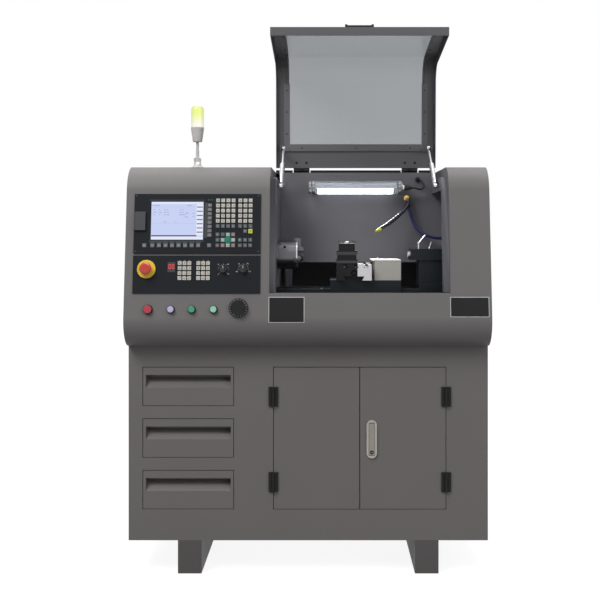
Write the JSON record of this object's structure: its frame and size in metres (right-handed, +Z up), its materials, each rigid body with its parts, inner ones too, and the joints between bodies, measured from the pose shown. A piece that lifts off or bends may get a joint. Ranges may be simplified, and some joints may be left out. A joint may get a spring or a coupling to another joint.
{
  "type": "benchtop cnc lathe",
  "caption": "CNC lathe in a sheet-metal housing with a flip-up lid over the work area, an operator console on the left, and a floor cabinet with drawers and doors below.",
  "frame": {"origin": "on the floor under the middle of the machine's width and of its housing's depth", "axes": "+Z up, -Y towards the operator, who stands in front, +X to the operator's right, towards the tailstock"},
  "size_m": [1.21, 0.7188, 1.8418],
  "materials": {
    "paint": "fine textured powder coat",
    "lid_paint": "satin powder coat",
    "casting": "painted dark",
    "steel": "ground",
    "chrome": "polished",
    "aluminium": "satin",
    "window": "clear polycarbonate",
    "panel": "fine texture",
    "black_plastic": "satin",
    "hose": "smooth",
    "cable": "satin",
    "lamp": "clear tube with a white inside",
    "brass": "machined",
    "red": "moulded",
    "lavender": "moulded",
    "green": "moulded",
    "pale_green": "moulded",
    "lens": "lit lens"
  },
  "bodies": {
    "frame": {"feet": "paint", "cabinet_front": "paint", "cabinet_panels": "paint", "housing_skin": "paint", "housing_plates": "paint", "splash_sheets": "paint", "bed": "casting", "headstock": "casting", "spindle_bearings": "steel", "motors": "black_plastic", "work_lamp": "lamp", "lamp_cable": "cable", "coolant_hose": "hose", "operator_panel": "panel", "machine_panel": "panel", "hinge_leaves": "black_plastic", "coolant_unit": "panel", "small_fittings": "brass"},
    "lid": {"lid_frame": "lid_paint", "lid_window": "window", "lid_fittings": "lid_paint"},
    "strut_tube_left": {"strut_tube_left": "chrome"},
    "strut_tube_right": {"strut_tube_right": "chrome"},
    "strut_rod_left": {"strut_rod_left": "chrome"},
    "strut_rod_right": {"strut_rod_right": "chrome"},
    "drawer_top": {"drawer_top": "paint"},
    "drawer_middle": {"drawer_middle": "paint"},
    "drawer_bottom": {"drawer_bottom": "paint"},
    "door_left": {"door_left": "paint"},
    "door_right": {"door_right": "paint", "lock_plate": "aluminium"},
    "lock_lever": {"lock_lever": "aluminium"},
    "lock_barrel": {"lock_barrel": "chrome"},
    "chuck": {"spindle": "steel", "chuck_body": "steel"},
    "jaw_1": {"chuck_jaw_1": "steel"},
    "jaw_2": {"chuck_jaw_2": "steel"},
    "jaw_3": {"chuck_jaw_3": "steel"},
    "saddle": {"saddle": "casting", "x_motor_box": "aluminium"},
    "cross_slide": {"cross_slide": "steel"},
    "tool_post": {"tool_post": "black_plastic"},
    "z_screw": {"z_screw": "steel"},
    "x_screw": {"x_screw": "steel"},
    "tailstock": {"tailstock": "casting"},
    "quill": {"quill": "steel"},
    "tailstock_wheel": {"tailstock_wheel": "steel"},
    "quill_lever": {"quill_lever": "chrome"},
    "clamp_lever": {"clamp_lever": "chrome"},
    "emergency_button": {"emergency_button": "red"},
    "button_red": {"button_red": "red"},
    "button_lavender": {"button_lavender": "lavender"},
    "button_green": {"button_green": "green"},
    "button_pale": {"button_pale": "pale_green"},
    "feed_knob": {"feed_knob": "black_plastic"},
    "speed_knob": {"speed_knob": "black_plastic"},
    "pulse_dial": {"pulse_dial": "black_plastic"},
    "port_door": {"port_door": "panel"},
    "signal_lamp": {"signal_lamp": "lens"},
    "coolant_nozzle": {"coolant_nozzle": "hose"}
  },
  "joints": [
    {"name": "lid_hinge", "type": "hinge", "parent": "frame", "child": "lid", "pos_m": [0, 0.128, 1.379], "axis": [1, 0, 0], "range_deg": [0, 88]},
    {"name": "strut_left_pivot", "type": "hinge", "parent": "frame", "child": "strut_tube_left", "pos_m": [-0.09575, -0.16, 1.31], "axis": [1, 0, 0], "range_deg": [-29.99, 1]},
    {"name": "strut_left_stroke", "type": "slide", "parent": "strut_tube_left", "child": "strut_rod_left", "axis": [0, 0.8359, 0.5488], "range_m": [-0.0716, 0.001]},
    {"name": "strut_right_pivot", "type": "hinge", "parent": "frame", "child": "strut_tube_right", "pos_m": [0.43825, -0.16, 1.31], "axis": [1, 0, 0], "range_deg": [-29.99, 1]},
    {"name": "strut_right_stroke", "type": "slide", "parent": "strut_tube_right", "child": "strut_rod_right", "axis": [0, 0.8359, 0.5488], "range_m": [-0.0716, 0.001]},
    {"name": "drawer_top_slide", "type": "slide", "parent": "frame", "child": "drawer_top", "axis": [0, -1, 0], "range_m": [0, 0.35]},
    {"name": "drawer_middle_slide", "type": "slide", "parent": "frame", "child": "drawer_middle", "axis": [0, -1, 0], "range_m": [0, 0.35]},
    {"name": "drawer_bottom_slide", "type": "slide", "parent": "frame", "child": "drawer_bottom", "axis": [0, -1, 0], "range_m": [0, 0.35]},
    {"name": "door_left_hinge", "type": "hinge", "parent": "frame", "child": "door_left", "pos_m": [-0.1173, -0.266, 0.218], "axis": [0, 0, -1], "range_deg": [0, 105]},
    {"name": "door_right_hinge", "type": "hinge", "parent": "frame", "child": "door_right", "pos_m": [0.464, -0.266, 0.218], "axis": [0, 0, 1], "range_deg": [0, 105]},
    {"name": "lock_lever_swing", "type": "hinge", "parent": "door_right", "child": "lock_lever", "pos_m": [0.2137, -0.2656, 0.503], "axis": [-1, 0, 0], "range_deg": [0, 40]},
    {"name": "lock_barrel_turn", "type": "hinge", "parent": "lock_lever", "child": "lock_barrel", "pos_m": [0.2137, -0.265, 0.41], "axis": [0, 1, 0], "range_deg": [0, 90]},
    {"name": "spindle_turn", "type": "hinge", "parent": "frame", "child": "chuck", "pos_m": [0, -0.13, 1.07], "axis": [1, 0, 0], "continuous": true},
    {"name": "jaw_1_slide", "type": "slide", "parent": "chuck", "child": "jaw_1", "axis": [0, -0.9397, -0.342], "range_m": [-0.004, 0.01]},
    {"name": "jaw_2_slide", "type": "slide", "parent": "chuck", "child": "jaw_2", "axis": [0, 0.766, -0.6428], "range_m": [-0.004, 0.01]},
    {"name": "jaw_3_slide", "type": "slide", "parent": "chuck", "child": "jaw_3", "axis": [0, 0.1736, 0.9848], "range_m": [-0.004, 0.01]},
    {"name": "saddle_slide", "type": "slide", "parent": "frame", "child": "saddle", "axis": [1, 0, 0], "range_m": [-0.1, 0.035]},
    {"name": "z_screw_turn", "type": "hinge", "parent": "frame", "child": "z_screw", "pos_m": [0, -0.13, 0.928], "axis": [1, 0, 0], "range_deg": [-7300, 2600]},
    {"name": "cross_slide_slide", "type": "slide", "parent": "saddle", "child": "cross_slide", "axis": [0, 1, 0], "range_m": [-0.045, 0.035]},
    {"name": "x_screw_turn", "type": "hinge", "parent": "saddle", "child": "x_screw", "pos_m": [0.155, 0, 1.011], "axis": [0, 1, 0], "range_deg": [-3300, 2600]},
    {"name": "tool_post_turn", "type": "hinge", "parent": "cross_slide", "child": "tool_post", "pos_m": [0.131, -0.184, 0], "axis": [0, 0, 1], "continuous": true},
    {"name": "tailstock_slide", "type": "slide", "parent": "frame", "child": "tailstock", "axis": [1, 0, 0], "range_m": [-0.035, 0.05]},
    {"name": "quill_slide", "type": "slide", "parent": "tailstock", "child": "quill", "axis": [1, 0, 0], "range_m": [-0.04, 0]},
    {"name": "tailstock_wheel_turn", "type": "hinge", "parent": "tailstock", "child": "tailstock_wheel", "pos_m": [0, -0.13, 1.07], "axis": [1, 0, 0], "range_deg": [-2900, 10]},
    {"name": "quill_lever_turn", "type": "hinge", "parent": "tailstock", "child": "quill_lever", "pos_m": [0.382, -0.148, 0], "axis": [0, 0, 1], "range_deg": [-40, 40]},
    {"name": "clamp_lever_turn", "type": "hinge", "parent": "tailstock", "child": "clamp_lever", "pos_m": [0.419, -0.154, 0], "axis": [0, 0, 1], "range_deg": [-40, 40]},
    {"name": "emergency_button_press", "type": "slide", "parent": "frame", "child": "emergency_button", "axis": [0, 0.9903, -0.1392], "range_m": [0, 0.005], "stiffness_N_per_m": 600},
    {"name": "button_red_press", "type": "slide", "parent": "frame", "child": "button_red", "axis": [0, 0.9903, -0.1392], "range_m": [0, 0.004], "stiffness_N_per_m": 300},
    {"name": "button_lavender_press", "type": "slide", "parent": "frame", "child": "button_lavender", "axis": [0, 0.9903, -0.1392], "range_m": [0, 0.004], "stiffness_N_per_m": 300},
    {"name": "button_green_press", "type": "slide", "parent": "frame", "child": "button_green", "axis": [0, 0.9903, -0.1392], "range_m": [0, 0.004], "stiffness_N_per_m": 300},
    {"name": "button_pale_press", "type": "slide", "parent": "frame", "child": "button_pale", "axis": [0, 0.9903, -0.1392], "range_m": [0, 0.004], "stiffness_N_per_m": 300},
    {"name": "feed_knob_turn", "type": "hinge", "parent": "frame", "child": "feed_knob", "pos_m": [-0.279, -0.32713, 1.027], "axis": [0, -0.9903, 0.1392], "range_deg": [-135, 135]},
    {"name": "speed_knob_turn", "type": "hinge", "parent": "frame", "child": "speed_knob", "pos_m": [-0.213, -0.32713, 1.027], "axis": [0, -0.9903, 0.1392], "range_deg": [-90, 90]},
    {"name": "pulse_dial_turn", "type": "hinge", "parent": "frame", "child": "pulse_dial", "pos_m": [-0.2275, -0.34484, 0.901], "axis": [0, -0.9903, 0.1392], "continuous": true},
    {"name": "port_door_hinge", "type": "hinge", "parent": "frame", "child": "port_door", "pos_m": [-0.574, -0.31476, 1.18689], "axis": [0, -0.1392, -0.9903], "range_deg": [0, 110]},
    {"name": "signal_lamp_fold", "type": "hinge", "parent": "frame", "child": "signal_lamp", "pos_m": [-0.384, -0.172, 1.399], "axis": [-1, 0, 0], "range_deg": [0, 85]},
    {"name": "coolant_nozzle_swivel", "type": "hinge", "parent": "frame", "child": "coolant_nozzle", "pos_m": [0.357, 0.066, 1.275], "axis": [0, 1, 0], "range_deg": [-15, 15]}
  ],
  "couplings": [
    {"joint": "strut_left_pivot", "follows": "lid_hinge", "ratio": -0.33397},
    {"joint": "strut_left_stroke", "follows": "lid_hinge", "m_per_rad": -0.04599},
    {"joint": "strut_right_pivot", "follows": "lid_hinge", "ratio": -0.33397},
    {"joint": "strut_right_stroke", "follows": "lid_hinge", "m_per_rad": -0.04599},
    {"joint": "jaw_2_slide", "follows": "jaw_1_slide", "ratio": 1},
    {"joint": "jaw_3_slide", "follows": "jaw_1_slide", "ratio": 1},
    {"joint": "z_screw_turn", "follows": "saddle_slide", "rad_per_m": 1256.6},
    {"joint": "x_screw_turn", "follows": "cross_slide_slide", "rad_per_m": 1256.6},
    {"joint": "tailstock_wheel_turn", "follows": "quill_slide", "rad_per_m": 1256.6}
  ]
}
